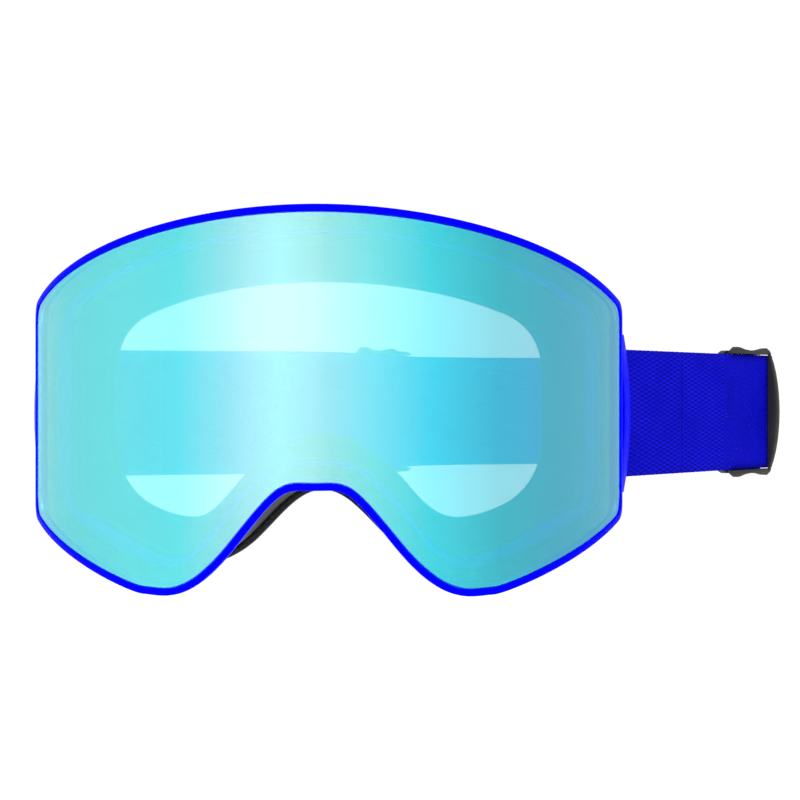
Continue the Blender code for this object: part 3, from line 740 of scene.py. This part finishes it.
def straps():
    """All webbing: front loops, the long outer layer, sewn ends and their stitches."""
    front_webbing("right", RIGHT_BAR, RUN, RUN_OUT)
    front_webbing("left", LEFT_BAR, LEFT_RUN, LEFT_OUT)
    main_webbing()
    right = at_run(RIGHT_BAR, RUN, RUN_OUT, [(INNER_START, -HALF_STEP), (50 * MM, -HALF_STEP)])
    sewn_end("right", SLIDER_RIGHT, RUN, RUN_OUT, right)
    outer = main_route()[3][::-1]
    _, side, _ = route_runs(outer)
    inner = [tuple(point) for point in outer + side * LAYER_STEP if point[1] < REAR_START.y + 2 * MM]
    left = at_run(LEFT_BAR, LEFT_RUN, LEFT_OUT, [(INNER_START, -HALF_STEP)]) + inner[1:]
    sewn_end("left", SLIDER_LEFT, REAR, REAR_OUT, left)
    for hand, origin, along, out in (
        ("right", SLIDER_RIGHT, RUN, RUN_OUT),
        ("left", SLIDER_LEFT, REAR, REAR_OUT),
    ):
        for index, place in enumerate(STITCH_ROWS):
            row = stitch_row(f"stitches_{hand}_{index}", origin, along, out, place)
            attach(row, f"slider_{hand}_unit")


def foams():
    """The three layers of the face foam, from the frame to the face."""
    for node, front, back, inset, crown, look in (
        ("foam_base", 26.2 * MM, 31.3 * MM, 0.8 * MM, 0.8 * MM, "foam"),
        ("foam_middle", 31.5 * MM, 35.6 * MM, 0.3 * MM, 0.9 * MM, "soft_foam"),
        ("foam_fleece", 35.8 * MM, 38 * MM, 0.0, 0.8 * MM, "fleece"),
    ):
        foam_pad(f"{node}_pad", node, front, back, inset, crown, LOOKS[look])


def area_light(name, place, size, power):
    """A rectangular softbox that faces the origin."""
    data = bpy.data.lights.new(name, "AREA")
    data.shape = "RECTANGLE"
    data.size, data.size_y = size
    data.energy = power
    light = bpy.data.objects.new(name, data)
    light.location = place
    light.rotation_euler = (-Vector(place)).to_track_quat("-Z", "Y").to_euler()
    bpy.context.collection.objects.link(light)


# The surroundings' light, as degrees round from behind the goggles and a level: brightest where the
# lens picks it up left of its middle.
SURROUND = (
    (-180, 0.66),
    (-163, 0.82),
    (-144, 0.68),
    (-110, 0.62),
    (110, 0.62),
    (180, 0.66),
)
SURROUND_STRENGTH = 1.86
BACKDROP_STRENGTH = 1.05
FLOOR_HALF, FLOOR_Z, FLOOR_THICKNESS = 6.0, -0.6, 0.02


def studio():
    """White surroundings, brighter on one side, and a pale floor."""
    scene = bpy.context.scene
    scene.view_settings.view_transform = "Standard"
    world = bpy.data.worlds.new("studio")
    scene.world = world
    world.use_nodes = True
    tree = world.node_tree
    seen = tree.nodes["Background"]
    seen.inputs["Color"].default_value = (1, 1, 1, 1)
    seen.inputs["Strength"].default_value = BACKDROP_STRENGTH
    soft = tree.nodes.new("ShaderNodeBackground")
    where = tree.nodes.new("ShaderNodeTexCoord")
    parts = tree.nodes.new("ShaderNodeSeparateXYZ")
    turn = tree.nodes.new("ShaderNodeMath")
    turn.operation = "ARCTAN2"
    span = tree.nodes.new("ShaderNodeMapRange")
    span.inputs[1].default_value, span.inputs[2].default_value = -math.pi, math.pi
    glow = tree.nodes.new("ShaderNodeValToRGB")
    while len(glow.color_ramp.elements) < len(SURROUND):
        glow.color_ramp.elements.new(0.5)
    for element, (degrees, level) in zip(glow.color_ramp.elements, SURROUND):
        element.position = (degrees + 180) / 360
        element.color = (level, level, level, 1)
    path = tree.nodes.new("ShaderNodeLightPath")
    choose = tree.nodes.new("ShaderNodeMixShader")
    link = tree.links.new
    link(where.outputs["Generated"], parts.inputs[0])
    link(parts.outputs["X"], turn.inputs[0])
    link(parts.outputs["Y"], turn.inputs[1])
    link(turn.outputs[0], span.inputs[0])
    link(span.outputs[0], glow.inputs[0])
    link(glow.outputs[0], soft.inputs["Color"])
    soft.inputs["Strength"].default_value = SURROUND_STRENGTH
    link(path.outputs["Is Camera Ray"], choose.inputs[0])
    link(soft.outputs[0], choose.inputs[1])
    link(seen.outputs[0], choose.inputs[2])
    link(choose.outputs[0], tree.nodes["World Output"].inputs["Surface"])
    area_light("top_softbox", (0.3, -0.6, 1.4), (1.6, 1.6), 6)
    corners = [(x * FLOOR_HALF, y * FLOOR_HALF) for x, y in ((-1, -1), (1, -1), (1, 1), (-1, 1))]
    rings = [[(x, y, FLOOR_Z - depth) for x, y in corners] for depth in (0.0, FLOOR_THICKNESS)]
    floor = mesh_piece("studio_floor", rings, LOOKS["floor"])
    for face in floor.data.polygons:
        face.use_smooth = False


# The viewpoint, in the goggles' own axes: a little to the right, level with the eye line.
CAMERA = Vector((37.05 * MM, -549.25 * MM - SHIFT, -0.27 * MM))
CAMERA_FORWARD = Vector((-0.02468, 0.9997, 0.0))
FOCAL_LENGTH = 90.1


def camera():
    """The photograph's viewpoint."""
    data = bpy.data.cameras.new("camera")
    data.lens = FOCAL_LENGTH
    data.clip_start = 0.01
    eye = bpy.data.objects.new("camera", data)
    eye.location = CAMERA
    eye.rotation_euler = CAMERA_FORWARD.to_track_quat("-Z", "Y").to_euler()
    bpy.context.collection.objects.link(eye)
    bpy.context.scene.camera = eye


camera()
outer_lens()
lens_rim()
hardware()
foams()
straps()
studio()
